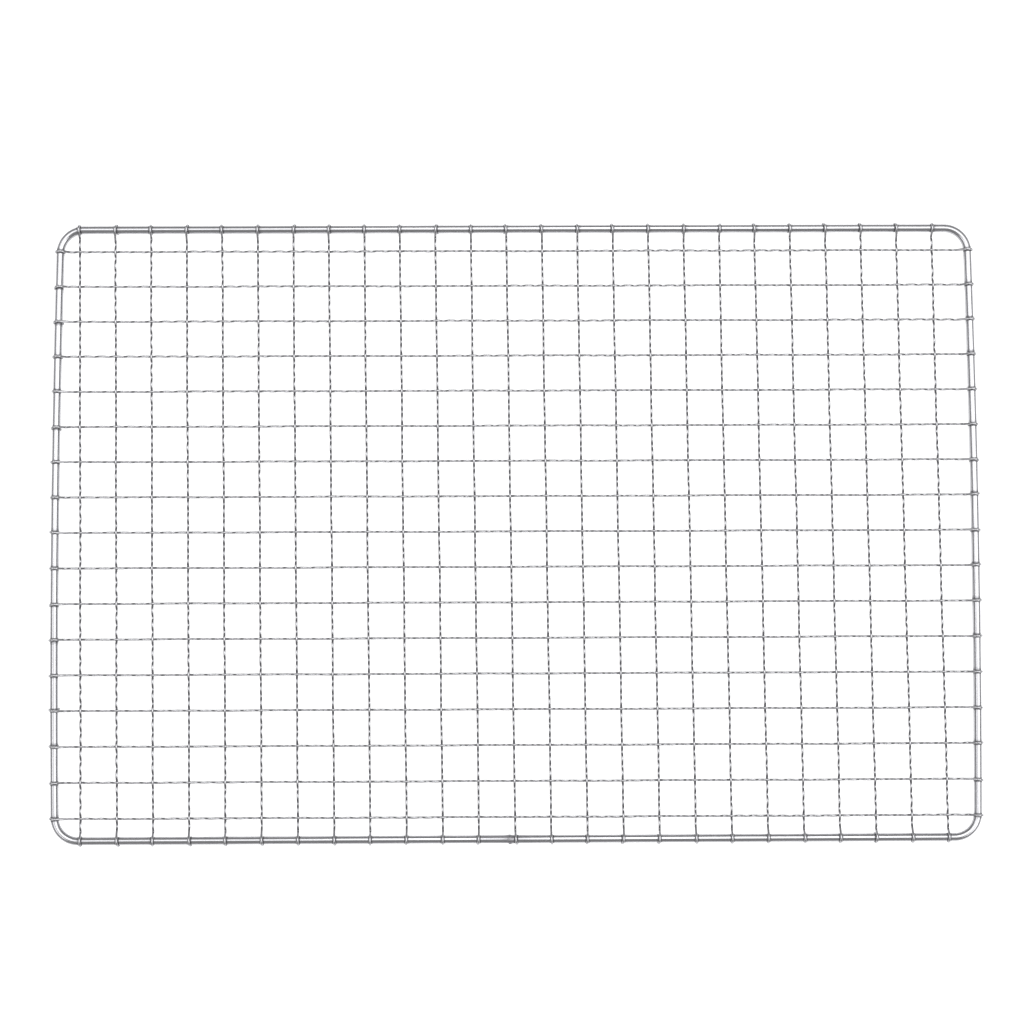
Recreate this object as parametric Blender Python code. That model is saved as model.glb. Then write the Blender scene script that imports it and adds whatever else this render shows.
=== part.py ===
# A flat bakery cooling rack. One thick border wire, bent to a round-cornered rectangle and
# butt welded, carries a woven sheet of thin wires, each hooked round the border at both ends.
# Metres, +Z up. X runs along the rack, Y across it, and the undersides of the hooks stand
# on z = 0 with the origin under the middle of the border.

import math

import bmesh
import bpy
from mathutils import Vector

# The border
LENGTH = 0.600              # outside to outside along X, at the middle of the short sides
WIDTH = 0.400               # outside to outside along Y
BORDER_WIRE = 0.0053        # diameter
CORNER_RADIUS = 0.015       # of the border's centre line
SIDE_BOW = 0.0020           # how far the ends of each short side curve in from its middle
WELD_BEAD = 0.0058          # diameter of the bead where the border's ends meet
WELD_LENGTH = 0.0032        # of the bead, along the wire
WELD_TO_WIRE = 0.0034       # middle of the bead to the middle cross wire beside it

# The woven sheet
MESH_WIRE = 0.0016          # diameter
CROSS_WIRES = 25            # wires that run along Y
LONG_WIRES = 17             # wires that run along X
LEFT_GAP = 0.0163           # border's centre line to the first cross wire
RIGHT_GAP = 0.0230          # last cross wire to the border's centre line
FAR_GAP = 0.01445           # border's centre line to the first long wire
NEAR_GAP = 0.0141           # last long wire to the border's centre line
LEAN = 0.0108               # sideways lean of the cross wires, in metres per metre of Y

# How the pieces are cut and faceted
CLEARANCE = 0.0003          # gap left between wires that touch
BORDER_SIDES = 8
MESH_SIDES = 6
CORNER_STEPS = 8            # straight facets in each corner's quarter turn
SIDE_STEPS = 6              # straight facets in each bowed short side
HOOK_START = 112.5          # degrees round the border, 0 outside and 90 on top
HOOK_END = -157.5
HOOK_STEPS = 6

# Sizes that follow from those
HALF_LENGTH = (LENGTH - BORDER_WIRE) / 2
HALF_WIDTH = (WIDTH - BORDER_WIRE) / 2
CROSS_PITCH = (2 * HALF_LENGTH - LEFT_GAP - RIGHT_GAP) / (CROSS_WIRES - 1)
LONG_PITCH = (2 * HALF_WIDTH - FAR_GAP - NEAR_GAP) / (LONG_WIRES - 1)
WEAVE_LIFT = (MESH_WIRE + CLEARANCE) / 2
HOOK_RADIUS = (BORDER_WIRE + MESH_WIRE) / 2 + CLEARANCE
HOOK_CORNER = HOOK_RADIUS / math.cos(math.radians((HOOK_START - HOOK_END) / HOOK_STEPS / 2))

UP = Vector((0, 0, 1))


def facet_radius(diameter, sides):
    """Corner radius of the polygon whose area is the round wire's."""
    return diameter / 2 * math.sqrt(2 * math.pi / (sides * math.sin(2 * math.pi / sides)))


def flat_radius(diameter, sides):
    """Middle to flat of the same polygon."""
    return facet_radius(diameter, sides) * math.cos(math.pi / sides)


RACK_HEIGHT = HOOK_RADIUS + flat_radius(MESH_WIRE, MESH_SIDES)   # middle plane above the hooks' undersides


def cross_x(number, y):
    """X of a cross wire where it passes y, counted from the left."""
    return -HALF_LENGTH + LEFT_GAP + number * CROSS_PITCH - LEAN * y


def long_y(number):
    """Y of a long wire, counted from the far side."""
    return HALF_WIDTH - FAR_GAP - number * LONG_PITCH


def crossing(cross, long):
    return Vector((cross_x(cross, long_y(long)), long_y(long), 0))


def cross_wire_is_over(cross, long):
    """Plain weave: each crossing is the other way up from its four neighbours."""
    return (cross + long) % 2 == 1


def bowed(x, y):
    """A point of the border, drawn in towards the corners by the short sides' bow."""
    return Vector((x - SIDE_BOW * x / HALF_LENGTH * (y / HALF_WIDTH) ** 2, y, 0))


def corner_points(side_x, side_y, start_angle):
    """One corner's quarter turn, anticlockwise."""
    middle_x = side_x * (HALF_LENGTH - CORNER_RADIUS)
    middle_y = side_y * (HALF_WIDTH - CORNER_RADIUS)
    points = []
    for step in range(CORNER_STEPS + 1):
        angle = math.radians(start_angle + 90 * step / CORNER_STEPS)
        points.append(bowed(middle_x + CORNER_RADIUS * math.cos(angle),
                            middle_y + CORNER_RADIUS * math.sin(angle)))
    return points


def side_points(side_x):
    """The points between the corners of one short side, anticlockwise."""
    reach = side_x * (HALF_WIDTH - CORNER_RADIUS)
    return [bowed(side_x * HALF_LENGTH, reach * (2 * step / SIDE_STEPS - 1)) for step in range(1, SIDE_STEPS)]


def weld_points():
    """The bead on the near long side, beside the middle cross wire, as points and diameters."""
    middle = cross_x(CROSS_WIRES // 2, -HALF_WIDTH) - WELD_TO_WIRE
    shares = ((-0.5, BORDER_WIRE), (-0.25, WELD_BEAD), (0.25, WELD_BEAD), (0.5, BORDER_WIRE))
    points = [Vector((middle + share * WELD_LENGTH, -HALF_WIDTH, 0)) for share, diameter in shares]
    return points, [diameter for share, diameter in shares]


def border_line():
    """The border's centre line, anticlockwise from the weld, with its diameter at each point."""
    points, diameters = weld_points()
    points += corner_points(1, -1, -90) + side_points(1) + corner_points(1, 1, 0)
    points += corner_points(-1, 1, 90) + side_points(-1) + corner_points(-1, -1, 180)
    diameters += [BORDER_WIRE] * (len(points) - len(diameters))
    return points, diameters


def meet_border(border, start, direction):
    """Where a wire's plan line reaches the border, and the border's outward normal there."""
    ahead = []
    for first, second in zip(border, border[1:] + border[:1]):
        along = second - first
        turn = direction.x * along.y - direction.y * along.x
        if abs(turn) < 1e-12:
            continue
        offset = first - start
        distance = (offset.x * along.y - offset.y * along.x) / turn
        share = (offset.x * direction.y - offset.y * direction.x) / turn
        if distance > 0 and 0 <= share <= 1:
            ahead.append((distance, start + distance * direction, along.normalized().cross(UP)))
    return min(ahead, key=lambda found: found[0])[1:]


def hook_points(place, outward):
    """The wire's end: over the top of the border, down its outside and back underneath."""
    points = []
    for step in range(HOOK_STEPS + 1):
        angle = math.radians(HOOK_START + (HOOK_END - HOOK_START) * step / HOOK_STEPS)
        points.append(place + HOOK_CORNER * (math.cos(angle) * outward + math.sin(angle) * UP))
    return points


def woven_line(border, crossings, heights):
    """A mesh wire's centre line: a hook, up and down through its crossings, and a hook."""
    ahead = (crossings[-1] - crossings[0]).normalized()
    first_hook = hook_points(*meet_border(border, crossings[0], -ahead))
    last_hook = hook_points(*meet_border(border, crossings[-1], ahead))
    woven = [place + height * UP for place, height in zip(crossings, heights)]
    return first_hook[::-1] + woven + last_hook


def ring(place, before, after, across, radius, sides):
    """The wire's section at a bend, in the plane that halves the bend.

    across is the direction square to the plane that the wire bends in.
    """
    ahead = (before + after).normalized()
    inward = ahead.cross(across).normalized() / max(ahead.dot(after), 0.5)
    turn = 0 if sides % 4 else math.pi / sides
    corners = []
    for number in range(sides):
        angle = turn + 2 * math.pi * number / sides
        corners.append(place + radius * (math.cos(angle) * across + math.sin(angle) * inward))
    return corners


def add_wire(name, line, diameters, across, sides, closed, material, parent):
    """A round wire along a line of points, as one closed faceted solid."""
    count = len(line)
    middle = sum(line, Vector()) / count
    model = bmesh.new()
    rings = []
    for number, place in enumerate(line):
        before = place - line[number - 1]
        after = line[(number + 1) % count] - place
        if not closed and number == 0:
            before = after
        if not closed and number == count - 1:
            after = before
        radius = facet_radius(diameters[number], sides)
        corners = ring(place - middle, before.normalized(), after.normalized(), across, radius, sides)
        rings.append([model.verts.new(corner) for corner in corners])
    for first, second in zip(rings, rings[1:] + rings[:1] if closed else rings[1:]):
        for number in range(sides):
            following = (number + 1) % sides
            model.faces.new((first[number], first[following], second[following], second[number]))
    if not closed:
        model.faces.new(rings[0][::-1])
        model.faces.new(rings[-1])
    bmesh.ops.recalc_face_normals(model, faces=model.faces)
    mesh = bpy.data.meshes.new(name)
    model.to_mesh(mesh)
    model.free()
    mesh.shade_smooth()
    mesh.set_sharp_from_angle(angle=math.radians(75))
    mesh.materials.append(material)
    wire = bpy.data.objects.new(name, mesh)
    wire.parent = parent
    wire.location = middle
    bpy.context.collection.objects.link(wire)
    return wire


def steel(name, colour, roughness):
    material = bpy.data.materials.new(name)
    material.use_nodes = True
    shader = material.node_tree.nodes["Principled BSDF"]
    shader.inputs["Base Color"].default_value = (*colour, 1)
    shader.inputs["Metallic"].default_value = 1.0
    shader.inputs["Roughness"].default_value = roughness
    return material


def add_border(material, parent):
    line, diameters = border_line()
    add_wire("border_wire", line, diameters, UP, BORDER_SIDES, True, material, parent)
    return line


def add_cross_wires(border, material, parent):
    for cross in range(CROSS_WIRES):
        crossings = [crossing(cross, long) for long in range(LONG_WIRES)]
        heights = [WEAVE_LIFT if cross_wire_is_over(cross, long) else -WEAVE_LIFT
                   for long in range(LONG_WIRES)]
        line = woven_line(border, crossings, heights)
        across = (crossings[-1] - crossings[0]).normalized().cross(UP)
        add_wire(f"cross_wire_{cross + 1:02d}", line, [MESH_WIRE] * len(line), across, MESH_SIDES,
                 False, material, parent)


def add_long_wires(border, material, parent):
    for long in range(LONG_WIRES):
        crossings = [crossing(cross, long) for cross in range(CROSS_WIRES)]
        heights = [-WEAVE_LIFT if cross_wire_is_over(cross, long) else WEAVE_LIFT
                   for cross in range(CROSS_WIRES)]
        line = woven_line(border, crossings, heights)
        across = (crossings[-1] - crossings[0]).normalized().cross(UP)
        add_wire(f"long_wire_{long + 1:02d}", line, [MESH_WIRE] * len(line), across, MESH_SIDES,
                 False, material, parent)


def main():
    for item in list(bpy.data.objects):
        bpy.data.objects.remove(item, do_unlink=True)
    rack = bpy.data.objects.new("cooling_rack", None)
    rack.location = (0, 0, RACK_HEIGHT)
    bpy.context.collection.objects.link(rack)
    border_steel = steel("border_steel", (0.62, 0.62, 0.64), 0.28)
    mesh_steel = steel("mesh_steel", (0.55, 0.55, 0.57), 0.32)
    border = add_border(border_steel, rack)
    add_cross_wires(border, mesh_steel, rack)
    add_long_wires(border, mesh_steel, rack)


main()
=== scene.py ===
import math

import bpy
import numpy as np
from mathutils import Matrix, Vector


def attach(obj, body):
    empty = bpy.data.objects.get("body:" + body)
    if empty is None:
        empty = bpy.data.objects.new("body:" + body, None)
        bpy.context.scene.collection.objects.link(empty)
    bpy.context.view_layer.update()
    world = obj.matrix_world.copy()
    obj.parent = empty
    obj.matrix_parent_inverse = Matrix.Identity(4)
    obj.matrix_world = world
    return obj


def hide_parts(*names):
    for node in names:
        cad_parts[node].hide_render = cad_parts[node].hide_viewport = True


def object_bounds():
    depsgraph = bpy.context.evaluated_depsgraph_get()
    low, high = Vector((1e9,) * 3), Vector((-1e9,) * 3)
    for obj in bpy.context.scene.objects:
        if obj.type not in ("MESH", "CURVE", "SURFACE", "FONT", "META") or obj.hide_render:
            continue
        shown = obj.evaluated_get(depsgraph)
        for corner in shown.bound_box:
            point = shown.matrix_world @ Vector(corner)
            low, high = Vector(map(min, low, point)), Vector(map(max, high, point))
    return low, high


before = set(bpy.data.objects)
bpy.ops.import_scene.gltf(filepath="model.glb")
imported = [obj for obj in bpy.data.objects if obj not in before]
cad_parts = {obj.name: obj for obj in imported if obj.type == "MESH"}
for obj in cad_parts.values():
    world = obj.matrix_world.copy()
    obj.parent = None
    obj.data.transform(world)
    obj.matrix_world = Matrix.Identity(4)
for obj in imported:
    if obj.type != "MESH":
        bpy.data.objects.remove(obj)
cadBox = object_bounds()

# A woven wire cooling rack on a white table: one thick border wire and two sets of crimped thin
# wires, each wrapped round the border at both ends. All places come from the CAD frame, in metres.

chance = np.random.default_rng(23)
middleHeight = (cadBox[0].z + cadBox[1].z) / 2
up = np.array([0.0, 0.0, 1.0])
print("frame loaded,", len(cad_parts), "nodes")


# Where the frame says things are

# The points of a node's mesh, one per row.
def nodePoints(name):
    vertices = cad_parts[name].data.vertices
    points = np.empty(len(vertices) * 3)
    vertices.foreach_get("co", points)
    return points.reshape(-1, 3)


straightShare = 0.9   # of a thin wire's length: beyond it the wire turns round the border


# Straight plan line of a thin wire: its sideways place is a + b times its place along the wire.
def planLine(points, along, sideways):
    inner = np.abs(points[:, along]) < straightShare * np.abs(points[:, along]).max()
    slope, start = np.polyfit(points[inner, along], points[inner, sideways], 1)
    return start, slope


crossNames = sorted(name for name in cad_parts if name.startswith("cross_wire_"))
longNames = sorted(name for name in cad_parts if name.startswith("long_wire_"))
crossPlan = np.array([planLine(nodePoints(name), 1, 0) for name in crossNames])
longPlan = np.array([planLine(nodePoints(name), 0, 1) for name in longNames])

# Two lines x = a + b y and y = c + d x meet at y = (c + d a) / (1 - b d); rows are cross wires.
crossStart, crossSlope = crossPlan[:, 0, None], crossPlan[:, 1, None]
longStart, longSlope = longPlan[None, :, 0], longPlan[None, :, 1]
crossingY = (longStart + longSlope * crossStart) / (1 - crossSlope * longSlope)
crossings = np.stack([crossStart + crossSlope * crossingY, crossingY], axis=2)

# A wire is on top where the nearest ring of its node's points lies above the middle plane.
ringPoints = 6
firstCross = nodePoints(crossNames[0])
nearFirst = np.argsort(np.abs(firstCross[:, 1] - crossings[0, 0, 1]))[:ringPoints]
firstCrossOnTop = firstCross[nearFirst, 2].mean() > middleHeight
print("woven sheet,", crossings.shape[0], "cross wires by", crossings.shape[1], "long wires")

# How far each wrap moves along the border from where it climbs on to where it ends, for the first
# and the last end of each wire, and what share of that it has done on top of the border. The
# painted shade on the border follows the wraps, so both use these.
wrapSlant = {"least": -0.0014, "most": 0.0014, "shareOnTop": 0.35}
crossSlants = chance.uniform(wrapSlant["least"], wrapSlant["most"], (len(crossNames), 2))
longSlants = chance.uniform(wrapSlant["least"], wrapSlant["most"], (len(longNames), 2))


# Shapes

# A piece from a grid of points, rows along it and columns around it. Columns always close up.
# Rows close up too where there are no end points, or else each end is closed by a fan of triangles
# to a point of its own. The map holds distance around and distance along, in metres.
def makePiece(name, grid, around, along, endPoints, marks, node, material):
    rows, sides = grid.shape[:2]
    closed = endPoints is None
    row = np.arange(rows if closed else rows - 1)[:, None]
    column = np.arange(sides)[None, :]
    nextRow, nextColumn = (row + 1) % rows, (column + 1) % sides
    quads = np.stack([row * sides + column, nextRow * sides + column,
                      nextRow * sides + nextColumn, row * sides + nextColumn], axis=2).reshape(-1, 4)
    lengthwise = np.append(along, 2 * along[-1] - along[-2])
    mapAround = np.stack([around[column + step] for step in (0, 0, 1, 1)], axis=2)
    mapAlong = np.stack([lengthwise[row + step] for step in (0, 1, 1, 0)], axis=2)
    mapAround = np.broadcast_to(mapAround, (len(row), sides, 4)).reshape(-1)
    mapAlong = np.broadcast_to(mapAlong, (len(row), sides, 4)).reshape(-1)
    points = grid.reshape(-1, 3)
    corners = quads.reshape(-1)
    starts = np.arange(len(quads)) * 4
    if not closed:
        firstPole = np.full(sides, rows * sides)
        ring, nextRing = column[0], nextColumn[0]
        lastRow = (rows - 1) * sides
        fans = np.concatenate([
            np.stack([firstPole, ring, nextRing], axis=1),
            np.stack([firstPole + 1, lastRow + nextRing, lastRow + ring], axis=1)])
        points = np.concatenate([points, endPoints])
        starts = np.append(starts, len(corners) + np.arange(len(fans)) * 3)
        corners = np.append(corners, fans.reshape(-1))
        mapAround = np.append(mapAround, np.zeros(fans.size))
        mapAlong = np.append(mapAlong, np.zeros(fans.size))
        marks = {mark: np.append(values, [values[0, 0], values[-1, 0]])
                 for mark, values in marks.items()}
    mesh = bpy.data.meshes.new(name)
    mesh.vertices.add(len(points))
    mesh.vertices.foreach_set("co", points.reshape(-1))
    mesh.loops.add(len(corners))
    mesh.loops.foreach_set("vertex_index", corners)
    mesh.polygons.add(len(starts))
    mesh.polygons.foreach_set("loop_start", starts)
    mesh.update(calc_edges=True)
    wireMap = mesh.uv_layers.new(name="wireMap")
    wireMap.data.foreach_set("uv", np.stack([mapAround, mapAlong], axis=1).reshape(-1))
    for mark, values in marks.items():
        mesh.attributes.new(mark, "FLOAT", "POINT").data.foreach_set("value", values.reshape(-1))
    mesh.shade_smooth()
    mesh.materials.append(material)
    piece = bpy.data.objects.new(name, mesh)
    bpy.context.collection.objects.link(piece)
    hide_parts(node)
    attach(piece, "root")


# Unit vectors along a line of points: the step from each point's neighbour before it to the one
# after it, over that step's length.
def directions(line, closed):
    if closed:
        ahead = np.roll(line, -1, axis=0) - np.roll(line, 1, axis=0)
    else:
        ahead = np.gradient(line, axis=0)
    return ahead / np.linalg.norm(ahead, axis=1, keepdims=True)


# Running sum of the steps between the points.
def distancesAlong(line):
    return np.append(0, np.cumsum(np.linalg.norm(np.diff(line, axis=0), axis=1)))


# Section carried along a line: point = line + radius (sin turn * across - flat cos turn * upward),
# with the turn counted from underneath so that the map's seam is out of sight. A flat share below
# 1 squeezes the round section to an oval one.
def sweep(line, ahead, across, radii, turns, flat=1.0):
    upward = np.cross(across, ahead)
    sine = np.sin(turns)[None, :, None]
    cosine = np.cos(turns)[None, :, None] * np.reshape(flat, (-1, 1, 1))
    return line[:, None] + radii[:, :, None] * (sine * across[:, None] - cosine * upward[:, None])


# Finishes

# sRGB hex to linear: share / 12.92 when dark, else ((share + 0.055) / 1.055) to the power 2.4.
def linearColour(hexColour):
    shares = [int(hexColour[place:place + 2], 16) / 255 for place in (1, 3, 5)]
    return [share / 12.92 if share <= 0.04045 else ((share + 0.055) / 1.055) ** 2.4
            for share in shares] + [1]


# Adds one node, with its settings, and its inputs as values or as links from other sockets.
def addNode(tree, kind, settings=(), inputs=()):
    node = tree.nodes.new(kind)
    for name, value in dict(settings).items():
        setattr(node, name, value)
    for name, value in dict(inputs).items():
        if isinstance(value, bpy.types.NodeSocket):
            tree.links.new(value, node.inputs[name])
        else:
            node.inputs[name].default_value = value
    return node


# A material with no nodes yet, and its node tree.
def newMaterial(name):
    material = bpy.data.materials.new(name)
    material.use_nodes = True
    material.node_tree.nodes.clear()
    return material, material.node_tree


# What each adds to the steel's roughness.
roughnessShares = {"lines": 0.10, "clouds": 0.08, "wearAndSheen": -0.05, "scorched": 0.30, "paintedContactShade": 0.25}


# Bright steel wire, cold drawn through a die and polished: a greyish mirror that runs along the
# wire, broken by faint draw lines and cloudy patches. It is lighter and smoother on the border's
# crown, worn by rubbing, and on the thin wires' crowns and hollows, where this is a painted
# highlight.
# Real draw lines are about 0.03 mm apart, too fine to show, so they are drawn coarser.
def drawnSteel(look):
    material, tree = newMaterial(look["name"])
    place = addNode(tree, "ShaderNodeTexCoord")
    wireMap = addNode(tree, "ShaderNodeUVMap", {"uv_map": "wireMap"})
    # the noise runs in millimetres, narrowed and stretched to the lines' width and length
    lineScale = (0.001 / look["lineWidth"], 0.001 / look["lineLength"], 1)
    stretched = addNode(tree, "ShaderNodeMapping", (),
                        {"Vector": wireMap.outputs["UV"], "Scale": lineScale})
    lines = addNode(tree, "ShaderNodeTexNoise", {"noise_dimensions": "2D"},
                    {"Vector": stretched.outputs["Vector"], "Scale": 1000, "Detail": 3,
                     "Roughness": 0.6})
    clouds = addNode(tree, "ShaderNodeTexNoise", (),
                     {"Vector": place.outputs["Object"], "Scale": 1 / look["cloudSize"], "Detail": 4})
    wearAndSheen, scorched, paintedContactShade = [addNode(tree, "ShaderNodeAttribute", {"attribute_name": mark})
                               for mark in ("wearAndSheen", "scorched", "paintedContactShade")]

    # colour: each layer is mixed over the one before by its own share; 6, 7 and the output 2 are
    # the mix node's two colours and its coloured result
    tint = linearColour(look["baseSteel"])
    # the last layer darkens the steel into painted shade where wires touch or pass under one another
    for cover, layer in ((clouds, "brightSteel"), (wearAndSheen, "wearAndSheenSteel"),
                         (scorched, "scorchedSteel"), (paintedContactShade, "contactShadeSteel")):
        tint = addNode(tree, "ShaderNodeMix", {"data_type": "RGBA"},
                       {"Factor": cover.outputs["Fac"], 6: tint,
                        7: linearColour(look[layer])}).outputs[2]

    # roughness = base + each source times its share; the lines' noise mostly lies in 0.3 to 0.7
    roughness = addNode(tree, "ShaderNodeMapRange", (),
                        {"Value": lines.outputs["Fac"], "From Min": 0.3, "From Max": 0.7,
                         "To Min": look["roughness"],
                         "To Max": look["roughness"] + roughnessShares["lines"]})
    total = roughness.outputs["Result"]
    for source, name in ((clouds, "clouds"), (wearAndSheen, "wearAndSheen"),
                         (scorched, "scorched"), (paintedContactShade, "paintedContactShade")):
        total = addNode(tree, "ShaderNodeMath", {"operation": "MULTIPLY_ADD"},
                        {0: source.outputs["Fac"], 1: roughnessShares[name],
                         2: total}).outputs["Value"]
    bump = addNode(tree, "ShaderNodeBump", (),
                   {"Height": lines.outputs["Fac"], "Distance": look["lineDepth"],
                    "Strength": look["bump"]})
    steel = addNode(tree, "ShaderNodeBsdfPrincipled", (),
                    {"Base Color": tint, "Metallic": 1.0, "Roughness": total,
                     "Normal": bump.outputs["Normal"]})
    addNode(tree, "ShaderNodeOutputMaterial", (), {"Surface": steel.outputs["BSDF"]})
    return material


# Lines and clouds in metres.
# in both looks the darkest colour is painted shade where wires touch or pass under one another
borderLook = {"name": "drawn stainless steel, thick wire", "baseSteel": "#B0B0B4",
              "brightSteel": "#B9B9BC", "wearAndSheenSteel": "#BEBEC1", "scorchedSteel": "#949397",
              "contactShadeSteel": "#4A4A4E", "roughness": 0.10,
              "lineWidth": 0.00050, "lineLength": 0.040, "lineDepth": 0.00002, "bump": 0.15,
              "cloudSize": 0.014}
# On the thin wires the base colour is darkened into painted shade on the flanks of the crimps, and
# the crown colour is a painted highlight on crowns and hollows.
meshLook = {"name": "drawn stainless steel, thin crimped wire", "baseSteel": "#7E7E81",
            "brightSteel": "#89898C", "wearAndSheenSteel": "#BABABD", "scorchedSteel": "#77767C",
            "contactShadeSteel": "#4A4A4E", "roughness": 0.14,
            "lineWidth": 0.00025, "lineLength": 0.020, "lineDepth": 0.00001, "bump": 0.3,
            "cloudSize": 0.018}
borderSteel = drawnSteel(borderLook)
meshSteel = drawnSteel(meshLook)
print("steel finishes ready")


# The border wire

borderWire = {
    "wire": 0.0053,            # diameter
    "flatShare": 0.97369,      # the frame's border is eight-sided, this much of its radius to a flat
    "cornerRadius": 0.015,     # of its centre line
    "cornerRings": 25,
    "sideBow": 0.0020,         # how far the ends of the short sides curve in
    "step": 0.0020,            # between rings
    "fineStep": 0.0002,        # between rings at the weld and at the wraps
    "wrapReach": 0.0016,       # length of the finely divided stretch to each side of a wrap
    "sides": 32,
    "weldReach": 0.0040,       # length of the finely divided stretch to each side of the weld
    "beadHeight": 0.00022,     # of the weld above the wire
    "beadReach": 0.0013,       # half its length
    "beadLumps": 0.00009,
    # each set of lumps: how many round the wire, turn in radians, twist in radians per metre
    "lumpWaves": ((3, 0.0, 2900), (7, 0.0, -5200), (11, 2.0, 9100)),
    "endsApart": 0.00012,      # sideways step between the two welded ends
    "endStep": 0.0004,         # length over which they step
    "endStraighten": 0.003,    # length over which each end comes back into line
    "burrHeight": 0.00050,     # of the burr on the outer side
    "burrTurn": 100.0,         # degrees from underneath
    "burrWidth": 0.30,         # in radians of turn
    "burrAside": 0.0003,       # from the middle of the weld
    "burrLength": 0.00045,
    "waveHeight": 0.00002,     # how far the wire is from round
    "waveLength": 0.11,
    "rubbedShare": 0.6,        # of the crown
    "scorchShare": 0.50,
    "scorchReach": 0.0035,     # of the dark tint beside the weld
    "heatShare": 0.45,
    "heatReach": 0.022,        # of the faint tint beyond it
    # painted shade on the border under and beside each wrap, where the wrapped wire shades it
    "contactShadeShare": 0.8,
    "contactShadeReach": 0.00155,     # from the middle of a wrap to the edge of the painted shade beside it
    "contactShadeFade": 0.00035,
}
borderRadius = borderWire["wire"] / 2
borderPoints = nodePoints("border_wire")
# the ring of points at the middle of the right side gives half the length of the centre line, and
# the widest points, less the radius to a flat, give half its width
atSideMiddle = (np.abs(borderPoints[:, 1]) < 0.001) & (borderPoints[:, 0] > 0)
halfLength = borderPoints[atSideMiddle, 0].mean()
halfWidth = borderPoints[:, 1].max() - borderRadius * borderWire["flatShare"]
atBead = borderPoints[:, 1] < borderPoints[:, 1].min() + 0.00001
weldX = borderPoints[atBead, 0].mean()


# Border's centre line in plan: x moves in by the bow times the square of y over half the width.
def bowedX(x, y):
    return x - borderWire["sideBow"] * x / halfLength * (y / halfWidth) ** 2


# A quarter turn: corner's middle + radius (cos angle, sin angle), drawn in by the bow.
def cornerArc(sideX, sideY, startAngle):
    angle = np.radians(startAngle + np.linspace(0, 90, borderWire["cornerRings"]))
    x = sideX * (halfLength - borderWire["cornerRadius"]) + borderWire["cornerRadius"] * np.cos(angle)
    y = sideY * (halfWidth - borderWire["cornerRadius"]) + borderWire["cornerRadius"] * np.sin(angle)
    return np.stack([bowedX(x, y), y], axis=1)


# Ring places from -reach to reach, close together round each of the fine places.
def ringPlaces(reach, finePlaces, fineReach):
    coarse = np.arange(-reach, reach, borderWire["step"])
    offsets = np.arange(-fineReach, fineReach, borderWire["fineStep"])
    places = np.concatenate([coarse, (finePlaces[:, None] + offsets[None]).reshape(-1)])
    places = np.unique(np.round(places / borderWire["fineStep"])) * borderWire["fineStep"]
    return places[np.abs(places) < reach - borderWire["fineStep"]]


# The sides run anticlockwise: y rises on the right, x falls on the far side.
def shortSide(sideX):
    wraps = longStart[0] + longSlope[0] * sideX * halfLength
    y = ringPlaces(halfWidth - borderWire["cornerRadius"], wraps, borderWire["wrapReach"])
    y = y if sideX > 0 else y[::-1]
    return np.stack([bowedX(sideX * halfLength, y), y], axis=1)


def longSide(sideY, finePlaces, fineReach):
    reach = bowedX(halfLength - borderWire["cornerRadius"], halfWidth)
    x = ringPlaces(reach, finePlaces, fineReach)
    x = x[::-1] if sideY > 0 else x
    return np.stack([x, np.full_like(x, sideY * halfWidth)], axis=1)


# Middle of every wrap on top of the border, in plan.
def wrapMiddles():
    share = wrapSlant["shareOnTop"]
    wraps = []
    for end, sideY in enumerate((1, -1)):
        x = crossStart[:, 0] + crossSlope[:, 0] * sideY * halfWidth - share * crossSlants[:, end]
        wraps.append(np.stack([x, np.full_like(x, sideY * halfWidth)], axis=1))
    for end, sideX in enumerate((-1, 1)):
        y = longStart[0] + longSlope[0] * sideX * halfLength - share * longSlants[:, end]
        wraps.append(np.stack([bowedX(sideX * halfLength, y), y], axis=1))
    return np.concatenate(wraps)


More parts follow.
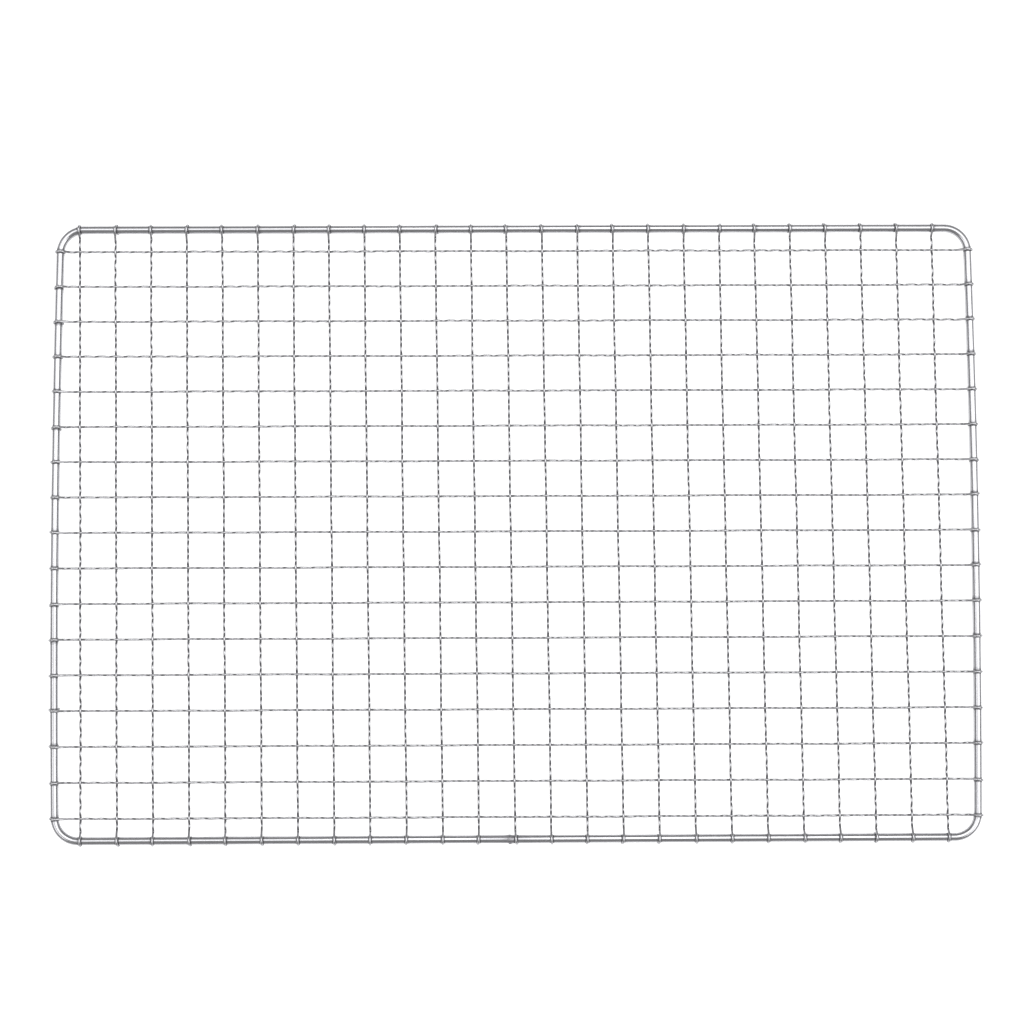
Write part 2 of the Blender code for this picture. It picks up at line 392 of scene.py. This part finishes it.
# Centre line anticlockwise from the near left corner, then a round section carried along it, with
# radius = wire + bead * hump * lumps + burr * turn's bell * place's bell + faint waves.
def makeBorder():
    wraps = wrapMiddles()
    farWraps = wraps[:len(crossNames), 0]
    nearWraps = wraps[len(crossNames):2 * len(crossNames), 0]
    weldPlaces = weldX + np.array([-0.5, 0.5]) * borderWire["weldReach"]
    plan = np.concatenate([
        longSide(-1, np.append(nearWraps, weldPlaces), borderWire["weldReach"] / 2),
        cornerArc(1, -1, -90), shortSide(1), cornerArc(1, 1, 0),
        longSide(1, farWraps, borderWire["wrapReach"]),
        cornerArc(-1, 1, 90), shortSide(-1), cornerArc(-1, -1, 180)])
    line = np.column_stack([plan, np.full(len(plan), middleHeight)])
    turns = np.arange(borderWire["sides"]) * 2 * math.pi / borderWire["sides"]

    # weld bead: a rounded hump round the wire with lumps that follow the turn and the place along it
    onNearSide = line[:, 1] < -halfWidth + 0.0001
    fromWeld = np.where(onNearSide, line[:, 0] - weldX, 1.0)
    hump = np.exp(-(fromWeld / borderWire["beadReach"]) ** 4)[:, None]
    lumps = sum(np.sin(count * turns[None] + turn + fromWeld[:, None] * twist)
                for count, turn, twist in borderWire["lumpWaves"]) / len(borderWire["lumpWaves"])
    radii = borderRadius + hump * (borderWire["beadHeight"] + borderWire["beadLumps"] * lumps)
    # burr: a small narrow tongue on the outer side, which is a quarter turn from underneath
    fromBurr = turns - math.radians(borderWire["burrTurn"])
    burrTurn = np.exp(-(fromBurr / borderWire["burrWidth"]) ** 2)[None]
    fromBurr = fromWeld - borderWire["burrAside"]
    burrPlace = np.exp(-(fromBurr / borderWire["burrLength"]) ** 2)[:, None]
    radii = radii + borderWire["burrHeight"] * burrTurn * burrPlace
    # the wire is never quite round: faint long waves in its radius
    phase = distancesAlong(line) * 2 * math.pi / borderWire["waveLength"]
    radii = radii + borderWire["waveHeight"] * np.sin(phase)[:, None] * np.cos(2 * turns[None])
    # its two welded ends are a little out of line, and each comes back into line further on
    stepAside = borderWire["endsApart"] * np.tanh(fromWeld / borderWire["endStep"]) * onNearSide
    line[:, 1] -= stepAside * np.exp(-(fromWeld / borderWire["endStraighten"]) ** 2)

    ahead = directions(line, True)
    across = np.cross(ahead, up)
    grid = sweep(line, ahead, across, radii, turns)
    circumference = 2 * math.pi * borderRadius
    around = np.linspace(0, circumference, borderWire["sides"] + 1)
    allRound = np.ones((1, len(turns)))
    allAlong = np.ones((len(line), 1))
    crown = borderWire["rubbedShare"] * np.clip(-np.cos(turns), 0, 1)[None] ** 3
    scorch = borderWire["scorchShare"] * np.exp(-(fromWeld / borderWire["scorchReach"]) ** 2)
    scorch += borderWire["heatShare"] * np.exp(-(fromWeld / borderWire["heatReach"]) ** 4)
    # painted shade where the wrapped wire shades the border: full under a wrap and beside it, fading
    # out towards its reach
    fromWrap = np.linalg.norm(plan[:, None] - wraps[None], axis=2).min(axis=1)
    contactShade = np.clip((borderWire["contactShadeReach"] - fromWrap) / borderWire["contactShadeFade"], 0, 1)
    contactShade = borderWire["contactShadeShare"] * contactShade
    marks = {"wearAndSheen": crown * allAlong, "scorched": scorch[:, None] * allRound,
             "paintedContactShade": contactShade[:, None] * allRound}
    makePiece("borderWire", grid, around, distancesAlong(line), None, marks,
              "border_wire", borderSteel)


makeBorder()
print("border wire made, weld at x =", round(weldX * 1000, 1), "mm")


# The thin crimped wires

thinWire = {
    "wire": 0.0016,            # diameter
    "sides": 12,
    "ringsPerCrimp": 16,
    "crimpsPerGap": 5,         # half waves from one crossing to the next, odd so that they alternate
    "crimpHeight": 0.00082,    # of the centre line, up and down
    "crownFlat": 0.06,         # share of a second wave that broadens the crowns
    "wander": 0.00014,         # sideways, from being handled
    "wanderWaves": ((0.137, 0.6), (0.061, 0.35), (0.0093, 0.1)),   # length and share of each
    "rampReach": 0.0068,       # where the wire starts to climb on to the border, from its centre line
    "rampStart": 0.8,          # how long it keeps its first direction, as a share of the climb
    "rampRings": 12,
    "wrapRings": 40,
    "wrapStart": 118.0,        # degrees round the border, 0 outside and 90 on top
    "wrapEnd": (-136.0, -108.0),
    "wrapGap": (0.00004, 0.00012),  # from the border's surface to the wrapped wire's
    "wrapLoose": 0.00016,      # how much further off the tucked end stands
    "pinch": 0.35,             # share by which the wrap is squeezed flat on the border's outer side
    "pinchMiddle": 12.0,       # degrees round the border
    "pinchReach": 48.0,
    "cutRings": (0.00009, 0.00014),  # distance of each rounding ring beyond the last full one
    "cutRadii": (0.9, 0.62),   # share of the radius at each
    "cutPoint": 0.00001,       # from the last of them to the closing point
    "crossFlankShade": 1.0,      # painted shade on the flanks of the crimps, 0 as bright as the crowns, 1 the darkest
    "longFlankShade": 0.5,
    # painted shade along the thin wire's sides where it is wrapped and where it passes under another
    # wire
    "contactShadeReach": 0.0011,      # from a crossing's middle to the end of its painted shade
    "contactShadeFade": 0.0003,
    "contactShadeAtWrap": 0.35,
    "contactShadeAtCrossing": 0.8,
}
thinRadius = thinWire["wire"] / 2


# Crimped centre line's height: high cos(phase) - flat cos(2 phase), which has broad crowns.
def crimpHeight(phase):
    return thinWire["crimpHeight"] * (np.cos(phase) - thinWire["crownFlat"] * np.cos(2 * phase))


# Smooth curve between two points with given directions: the cubic with those ends and slopes.
def cubicBetween(share, start, startWay, end, endWay):
    share = share[:, None]
    return ((2 * share ** 3 - 3 * share ** 2 + 1) * start
            + (share ** 3 - 2 * share ** 2 + share) * startWay
            + (3 * share ** 2 - 2 * share ** 3) * end + (share ** 3 - share ** 2) * endWay)


# Share of the wire's thickness left at each angle round the border: 1 less a rounded pinch.
def wrapThickness(degrees):
    fromMiddle = (degrees - thinWire["pinchMiddle"]) / thinWire["pinchReach"]
    return 1 - thinWire["pinch"] * np.exp(-fromMiddle ** 2)


# One end of a wire from its last crimp: a climb on to the border and a wrap over the top, down the
# outside and back underneath. Columns are distance outward from the border's centre line, height
# above the middle plane, distance sideways along the border, and share of the full thickness.
def wrapEnd(startHeight, startSlope, slant):
    gap = chance.uniform(*thinWire["wrapGap"])
    endAngle = chance.uniform(*thinWire["wrapEnd"])
    degrees = np.linspace(thinWire["wrapStart"], endAngle, thinWire["wrapRings"] + 1)
    thickness = wrapThickness(degrees)
    wrapRadii = borderRadius + gap + thinRadius * thickness
    wrapRadii = wrapRadii + thinWire["wrapLoose"] * np.linspace(0, 1, len(degrees))
    start = np.array([-thinWire["rampReach"], startHeight])
    firstAngle = math.radians(thinWire["wrapStart"])
    end = wrapRadii[0] * np.array([math.cos(firstAngle), math.sin(firstAngle)])
    reach = np.linalg.norm(end - start)
    startWay = np.array([1, startSlope]) * reach * thinWire["rampStart"]
    endWay = np.array([math.sin(firstAngle), -math.cos(firstAngle)]) * reach
    climb = np.linspace(0, 1, thinWire["rampRings"] + 1)[1:]
    ramp = cubicBetween(climb, start, startWay, end, endWay)
    angles = np.radians(degrees)
    wrap = wrapRadii[:, None] * np.stack([np.cos(angles), np.sin(angles)], axis=1)
    profile = np.concatenate([ramp, wrap[1:]])
    thickness = np.concatenate([np.linspace(1, thickness[0], len(ramp)), thickness[1:]])
    share = np.linspace(0, 1, len(profile))
    sideways = slant * share * share * (3 - 2 * share)   # starts and ends without a kink
    return np.column_stack([profile, sideways, thickness])


# A whole thin wire from its crossings in plan, its distance to the border at each end, how far
# each wrap slants, and how dark the painted shade on its flanks is. Its centre line is the first
# crossing + distance along * forward + wander * sideways + crimp height * up, with a wrap added at
# each end.
def makeThinWire(name, places, onTopFirst, gaps, slants, flankShade, node):
    startGap, endGap = gaps
    span = np.linalg.norm(places[-1] - places[0])
    aheadPlan = (places[-1] - places[0]) / span
    pitch = span / (len(places) - 1)
    wave = 2 * pitch / thinWire["crimpsPerGap"]
    firstPhase = 0 if onTopFirst else math.pi
    wovenStart, wovenEnd = thinWire["rampReach"] - startGap, span + endGap - thinWire["rampReach"]
    count = int((wovenEnd - wovenStart) / wave * thinWire["ringsPerCrimp"])
    along = np.linspace(wovenStart, wovenEnd, count)
    phase = firstPhase + 2 * math.pi * along / wave
    height = crimpHeight(phase)
    slopes = np.gradient(height, along)
    wanderTurns = chance.uniform(0, 2 * math.pi, len(thinWire["wanderWaves"]))
    wander = sum(np.sin(along * 2 * math.pi / length + turn) * size for (length, size), turn
                 in zip(thinWire["wanderWaves"], wanderTurns)) * thinWire["wander"]

    first = wrapEnd(height[0], -slopes[0], slants[0])[::-1]
    last = wrapEnd(height[-1], slopes[-1], slants[1])
    along = np.concatenate([-startGap - first[:, 0], along, span + endGap + last[:, 0]])
    height = np.concatenate([first[:, 1], height, last[:, 1]])
    aside = np.concatenate([first[:, 2] + wander[0], wander, last[:, 2] + wander[-1]])
    flat = np.concatenate([first[:, 3], np.ones(count), last[:, 3]])
    forward = np.append(aheadPlan, 0)
    right = np.cross(forward, up)
    origin = np.append(places[0], middleHeight)
    line = origin + along[:, None] * forward + aside[:, None] * right + height[:, None] * up

    # each cut end is slightly rounded: two shrinking rings and a closing point
    ahead = directions(line, False)
    cut = np.array(thinWire["cutRings"])[:, None]
    line = np.concatenate([line[0] - cut[::-1] * ahead[0], line, line[-1] + cut * ahead[-1]])
    endPoints = np.stack([line[0] - thinWire["cutPoint"] * ahead[0],
                          line[-1] + thinWire["cutPoint"] * ahead[-1]])
    rings = np.pad(np.arange(len(ahead)), len(cut), "edge")
    ahead, flat = ahead[rings], flat[rings]
    across = right - (ahead @ right)[:, None] * ahead
    across /= np.linalg.norm(across, axis=1, keepdims=True)
    turns = np.arange(thinWire["sides"]) * 2 * math.pi / thinWire["sides"]
    allRound = np.ones((1, len(turns)))
    share = np.concatenate([thinWire["cutRadii"][::-1], np.ones(len(line) - 2 * len(cut)),
                            thinWire["cutRadii"]])
    grid = sweep(line, ahead, across, thinRadius * share[:, None] * allRound, turns, flat)
    around = np.linspace(0, 2 * math.pi * thinRadius, thinWire["sides"] + 1)

    # painted highlight on each crown and each hollow and painted shade on the flanks between:
    # share = 1 - flank shade (1 - (height / crimp height) to the power 1.5)
    lift = np.clip(np.abs(line[:, 2] - middleHeight) / thinWire["crimpHeight"], 0, 1)
    crownSheen = (1 - flankShade * (1 - lift ** 1.5))[:, None] * allRound
    # painted shade along both sides of the wire where it is wrapped, and where it passes under
    # another
    woven = slice(len(first) + len(cut), -len(last) - len(cut))
    onBorder = np.ones(len(line))
    onBorder[woven] = 0
    fromCrossing = np.ones(len(line))   # a metre, which is far enough, on the border
    crossingPlaces = pitch * np.arange(len(places))
    fromCrossing[woven] = np.abs(along[len(first):-len(last), None] - crossingPlaces).min(axis=1)
    under = np.clip((thinWire["contactShadeReach"] - fromCrossing) / thinWire["contactShadeFade"], 0, 1)
    under = under * (line[:, 2] < middleHeight)
    contactShade = np.maximum(onBorder * thinWire["contactShadeAtWrap"], under * thinWire["contactShadeAtCrossing"])
    contactShade = contactShade[:, None] * np.abs(np.sin(turns))[None] ** 4
    marks = {"wearAndSheen": crownSheen, "scorched": np.zeros_like(crownSheen), "paintedContactShade": contactShade}
    makePiece(name, grid, around, distancesAlong(line), endPoints, marks,
              node, meshSteel)


for number, node in enumerate(crossNames):
    places = crossings[number]
    makeThinWire(f"crossWire{number + 1:02d}", places, firstCrossOnTop == (number % 2 == 0),
                 (halfWidth - places[0, 1], halfWidth + places[-1, 1]), crossSlants[number],
                 thinWire["crossFlankShade"], node)
print("cross wires made")

for number, node in enumerate(longNames):
    places = crossings[:, number]
    leftEnd = bowedX(-halfLength, places[0, 1])
    rightEnd = bowedX(halfLength, places[-1, 1])
    makeThinWire(f"longWire{number + 1:02d}", places, firstCrossOnTop != (number % 2 == 0),
                 (places[0, 0] - leftEnd, rightEnd - places[-1, 0]), longSlants[number],
                 thinWire["longFlankShade"], node)
print("long wires made")


# The white table

table = {
    "colour": "#E8E8E8",
    "size": 8.0,
    "glow": 0.50,              # what it throws on to the wires from below
    "seenGlow": 0.75,          # what the eye sees
    "drop": 0.00002,           # below the rack's undersides, so that the faces don't meet
}


# Matt white sheet: an even pale ground. What the eye sees is lifted a little, as on a lit table,
# so that the thin wires' shadows almost wash out.
def whiteTable():
    material, tree = newMaterial("matt white table sheet")
    matt = addNode(tree, "ShaderNodeBsdfDiffuse", (), {"Color": linearColour(table["colour"])})
    path = addNode(tree, "ShaderNodeLightPath")
    glow = addNode(tree, "ShaderNodeMapRange", (),
                   {"Value": path.outputs["Is Camera Ray"], "To Min": table["glow"],
                    "To Max": table["seenGlow"]})
    lit = addNode(tree, "ShaderNodeEmission", (), {"Strength": glow.outputs["Result"]})
    both = addNode(tree, "ShaderNodeAddShader", (),
                   {0: matt.outputs["BSDF"], 1: lit.outputs["Emission"]})
    addNode(tree, "ShaderNodeOutputMaterial", (), {"Surface": both.outputs["Shader"]})
    half = table["size"] / 2
    mesh = bpy.data.meshes.new("table")
    height = cadBox[0].z - table["drop"]
    mesh.from_pydata([(-half, -half, height), (half, -half, height), (half, half, height),
                      (-half, half, height)], [], [(0, 1, 2, 3)])
    mesh.materials.append(material)
    sheet = bpy.data.objects.new("table", mesh)
    bpy.context.collection.objects.link(sheet)


whiteTable()


# The studio: soft panels overhead in a dim room. The near side of the room has them only to the
# left and right. The strip where the camera's arm comes in, the far corners, the left edge and one
# strip on the left are dimmer, and draw the grey lines along the border wire.

studio = {
    "height": 3.0,
    "room": 0.38,              # brightness of the room round the panels
    "backdrop": "#FFFFFF",
    # left, right, near and far edge of each panel, and the brightness of its face
    "panels": {"far panel": (-0.35, 0.95, 0.10, 2.3, 2.6),
               "left edge panel": (-4.2, -2.3, -2.2, 2.3, 0.8),
               "left strip": (-1.65, -1.15, 0.10, 1.0, 0.8),
               "far left outer panel": (-2.3, -1.65, 0.10, 1.0, 2.2),
               "far left panel": (-1.15, -0.35, 0.10, 1.0, 2.3),
               "far left corner": (-2.3, -0.35, 1.0, 2.3, 0.85),
               "far right panel": (0.95, 4.2, 0.10, 1.0, 2.1),
               "far right corner": (0.95, 4.2, 1.0, 2.3, 0.8),
               "near left panel": (-2.3, -1.6, -2.2, 0.10, 2.6),
               "near right panel": (1.6, 3.8, -2.2, 0.10, 2.5),
               "camera side panel": (-0.2, 1.6, -0.6, 0.10, 1.9),
               "camera arm side": (-1.6, -0.2, -0.6, 0.10, 0.7)},
}


# A rectangle of light facing down: power = brightness times pi times its area.
def softPanel(name, left, right, near, far, brightness):
    light = bpy.data.lights.new(name, "AREA")
    light.shape = "RECTANGLE"
    light.size, light.size_y = right - left, far - near
    light.energy = brightness * math.pi * light.size * light.size_y
    panel = bpy.data.objects.new(name, light)
    panel.location = ((left + right) / 2, (near + far) / 2, studio["height"])
    panel.visible_camera = False
    bpy.context.collection.objects.link(panel)


# Dim white all round for the wires to reflect, and a white backdrop for the eye.
def dimRoom():
    world = bpy.data.worlds.new("studio room")
    world.use_nodes = True
    tree = world.node_tree
    tree.nodes.clear()
    path = addNode(tree, "ShaderNodeLightPath")
    room = addNode(tree, "ShaderNodeBackground", (),
                   {"Color": (1, 1, 1, 1), "Strength": studio["room"]})
    backdrop = addNode(tree, "ShaderNodeBackground", (),
                       {"Color": linearColour(studio["backdrop"])})
    seen = addNode(tree, "ShaderNodeMixShader", (),
                   {0: path.outputs["Is Camera Ray"], 1: room.outputs["Background"],
                    2: backdrop.outputs["Background"]})
    addNode(tree, "ShaderNodeOutputWorld", (), {"Surface": seen.outputs["Shader"]})
    bpy.context.scene.world = world


for name, edges in studio["panels"].items():
    softPanel(name, *edges)
dimRoom()
bpy.context.scene.view_settings.view_transform = "Standard"
print("studio lit")


# The camera, nearly straight above

cameraSet = {
    "place": (-0.0134, -0.07203, 1.29676),
    "turn": (3.7384, -0.4682, -0.2383),     # degrees
    "lens": 70.414,                         # millimetres, as is the sensor
    "sensor": 36,
}


def addCamera():
    camera = bpy.data.cameras.new("camera")
    camera.lens = cameraSet["lens"]
    camera.sensor_width = cameraSet["sensor"]
    stand = bpy.data.objects.new("camera", camera)
    stand.location = cameraSet["place"]
    stand.rotation_euler = [math.radians(turn) for turn in cameraSet["turn"]]
    bpy.context.collection.objects.link(stand)
    bpy.context.scene.camera = stand


addCamera()
print("camera set")
